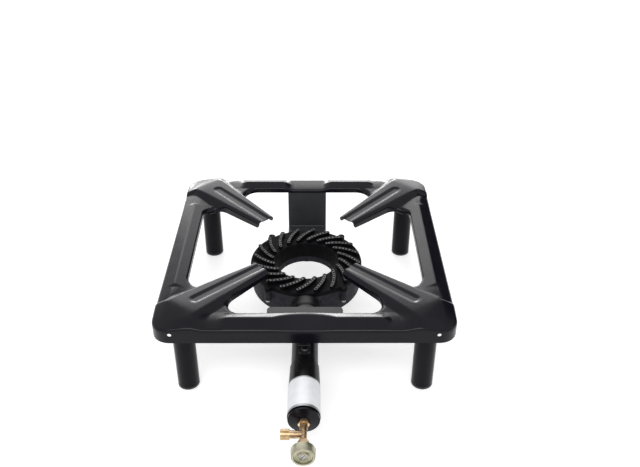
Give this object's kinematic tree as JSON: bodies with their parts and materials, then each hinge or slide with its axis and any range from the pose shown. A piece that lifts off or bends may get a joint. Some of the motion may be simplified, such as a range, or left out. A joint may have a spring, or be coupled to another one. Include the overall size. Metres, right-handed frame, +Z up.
{
  "type": "gas wok burner",
  "caption": "Low gas stool burner: pressed steel stand on tube legs with pan arms, cast ring burner with curved ribs, mixing tube with air shutter and a brass needle valve with hand wheel.",
  "frame": {"origin": "on the floor, below the centre of the square stand", "axes": "+Z up; -Y along the mixing tube towards the hand wheel; +X to the right seen from the hand wheel"},
  "size_m": [0.4, 0.5597, 0.137],
  "materials": {
    "enamel": "semi-gloss black",
    "foot_plastic": "satin",
    "cast_iron": "matte black",
    "tube_paint": "gloss black",
    "screw_steel": "zinc plated",
    "foil": "satin foil",
    "brass": "turned",
    "packing": "satin",
    "passivated_zinc": "yellow-green passivated"
  },
  "bodies": {
    "stand": {"top_frame": "enamel", "rear_bracket": "enamel", "front_bracket": "enamel", "leg_front_left": "enamel", "leg_front_right": "enamel", "leg_rear_left": "enamel", "leg_rear_right": "enamel", "foot_front_left": "foot_plastic", "foot_front_right": "foot_plastic", "foot_rear_left": "foot_plastic", "foot_rear_right": "foot_plastic", "burner_base": "cast_iron", "burner_cap": "cast_iron", "mixing_tube": "tube_paint", "air_bell": "tube_paint", "tube_screw": "screw_steel", "bracket_bolt": "screw_steel", "cap_screws": "screw_steel", "rating_label": "foil", "injector_holder": "brass", "injector_jet": "brass", "valve_body": "brass", "inlet_nipple": "brass", "gland_nut": "brass", "packing_ring": "packing"},
    "nut": {"lock_nut": "brass"},
    "shutter": {"air_shutter": "enamel"},
    "spindle": {"valve_spindle": "brass"},
    "wheel": {"hand_wheel": "passivated_zinc", "wheel_screw": "screw_steel"}
  },
  "joints": [
    {"name": "nut_slide", "type": "slide", "parent": "stand", "child": "nut", "axis": [0, -1, 0], "range_m": [-0.0015, 0.005]},
    {"name": "shutter_turn", "type": "hinge", "parent": "nut", "child": "shutter", "pos_m": [0, -0.303, 0.0715], "axis": [0, -1, 0], "range_deg": [-540, 1800]},
    {"name": "spindle_slide", "type": "slide", "parent": "stand", "child": "spindle", "axis": [0, -1, 0], "range_m": [0, 0.003]},
    {"name": "wheel_turn", "type": "hinge", "parent": "spindle", "child": "wheel", "pos_m": [0, -0.3537, 0.0715], "axis": [0, -1, 0], "range_deg": [0, 1080]}
  ],
  "couplings": [
    {"joint": "nut_slide", "follows": "shutter_turn", "m_per_rad": 0.000159},
    {"joint": "spindle_slide", "follows": "wheel_turn", "m_per_rad": 0.000159}
  ]
}
